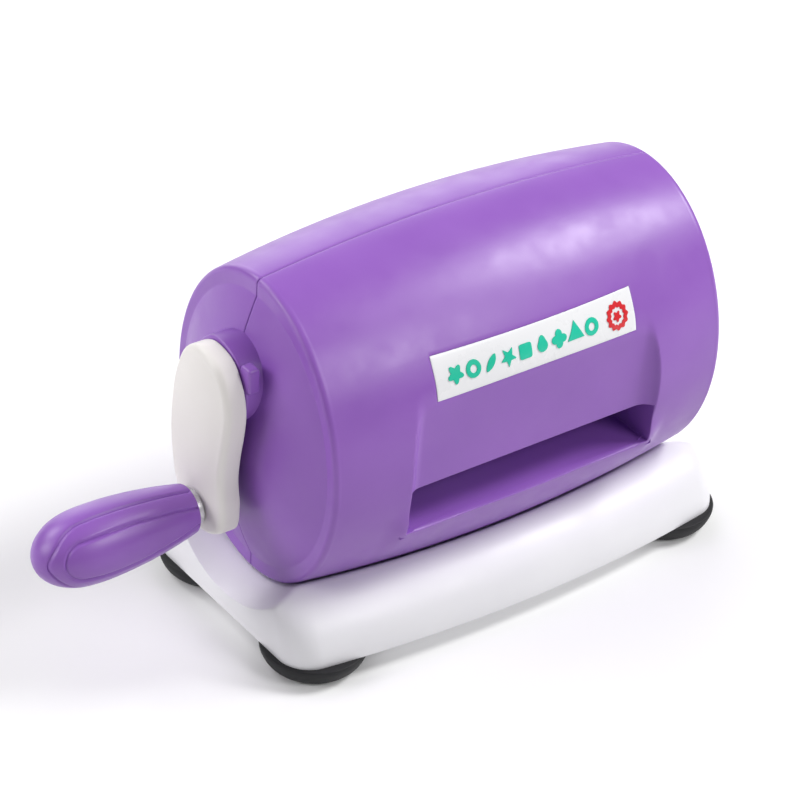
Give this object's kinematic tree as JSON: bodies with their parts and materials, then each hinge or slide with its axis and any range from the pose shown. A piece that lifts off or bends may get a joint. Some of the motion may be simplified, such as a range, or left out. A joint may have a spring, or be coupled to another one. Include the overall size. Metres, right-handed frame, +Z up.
{
  "type": "die cutting machine",
  "caption": "Hand-cranked mini die cutter: barrel-shaped body with a feed slot between geared rollers, on a low base with rubber feet.",
  "frame": {"origin": "centre of the footprint, on the surface that the feet stand on", "axes": "+X along the rollers, away from the crank; +Y from the feed slot to the exit slot; +Z up"},
  "size_m": [0.2825, 0.1146, 0.1525],
  "materials": {
    "purple_plastic": "satin moulded, fine texture",
    "white_plastic": "smooth moulded, low gloss",
    "arm_plastic": "satin moulded, warm off-white",
    "label": "printed film, satin",
    "rubber": "matt moulded",
    "frame_steel": "zinc-plated",
    "roller_steel": "ground",
    "fastener_steel": "plated",
    "bronze": "sintered",
    "nylon": "natural moulded"
  },
  "bodies": {
    "body": {"front_shell": "purple_plastic", "rear_shell": "purple_plastic", "label_plate": "label", "axle_collar": "purple_plastic", "base": "white_plastic", "base_cover": "white_plastic", "foot_front_left": "rubber", "foot_front_right": "rubber", "foot_rear_left": "rubber", "foot_rear_right": "rubber", "left_frame_plate": "frame_steel", "right_frame_plate": "frame_steel", "outer_bracket": "frame_steel", "bracket_spacers": "frame_steel", "tie_rods": "frame_steel", "crank_bushes": "bronze", "roller_bushes": "bronze", "frame_screws": "fastener_steel", "shell_screws": "fastener_steel", "base_screws": "fastener_steel", "foot_screws": "fastener_steel", "cover_screws": "fastener_steel"},
    "upper_roller_set": {"upper_roller": "roller_steel", "upper_shaft": "roller_steel", "drive_gear": "nylon", "upper_sync_gear": "nylon", "upper_gear_pins": "fastener_steel", "upper_clips": "fastener_steel"},
    "lower_roller_set": {"lower_roller": "roller_steel", "lower_shaft": "roller_steel", "lower_sync_gear": "nylon", "lower_gear_pin": "fastener_steel", "lower_clips": "fastener_steel"},
    "crank": {"crank_shaft": "roller_steel", "crank_pinion": "nylon", "pinion_pin": "fastener_steel", "crank_clip": "fastener_steel", "crank_washer": "fastener_steel", "crank_plate": "frame_steel", "crank_cover": "arm_plastic", "crank_cover_screws": "fastener_steel", "grip_spindle": "roller_steel", "spindle_collar": "fastener_steel", "spindle_clip": "fastener_steel"},
    "grip": {"grip": "purple_plastic"}
  },
  "joints": [
    {"name": "crank_turn", "type": "hinge", "parent": "body", "child": "crank", "pos_m": [-0.09, 0, 0.10988], "axis": [1, 0, 0], "continuous": true},
    {"name": "upper_roller_turn", "type": "hinge", "parent": "body", "child": "upper_roller_set", "pos_m": [0, 0, 0.0805], "axis": [1, 0, 0], "continuous": true},
    {"name": "lower_roller_turn", "type": "hinge", "parent": "body", "child": "lower_roller_set", "pos_m": [0, 0, 0.0445], "axis": [1, 0, 0], "continuous": true},
    {"name": "grip_spin", "type": "hinge", "parent": "crank", "child": "grip", "pos_m": [-0.1049, 0, 0.05937], "axis": [1, 0, 0], "continuous": true}
  ],
  "couplings": [
    {"joint": "upper_roller_turn", "follows": "crank_turn", "ratio": -0.42424},
    {"joint": "lower_roller_turn", "follows": "crank_turn", "ratio": 0.42424}
  ]
}
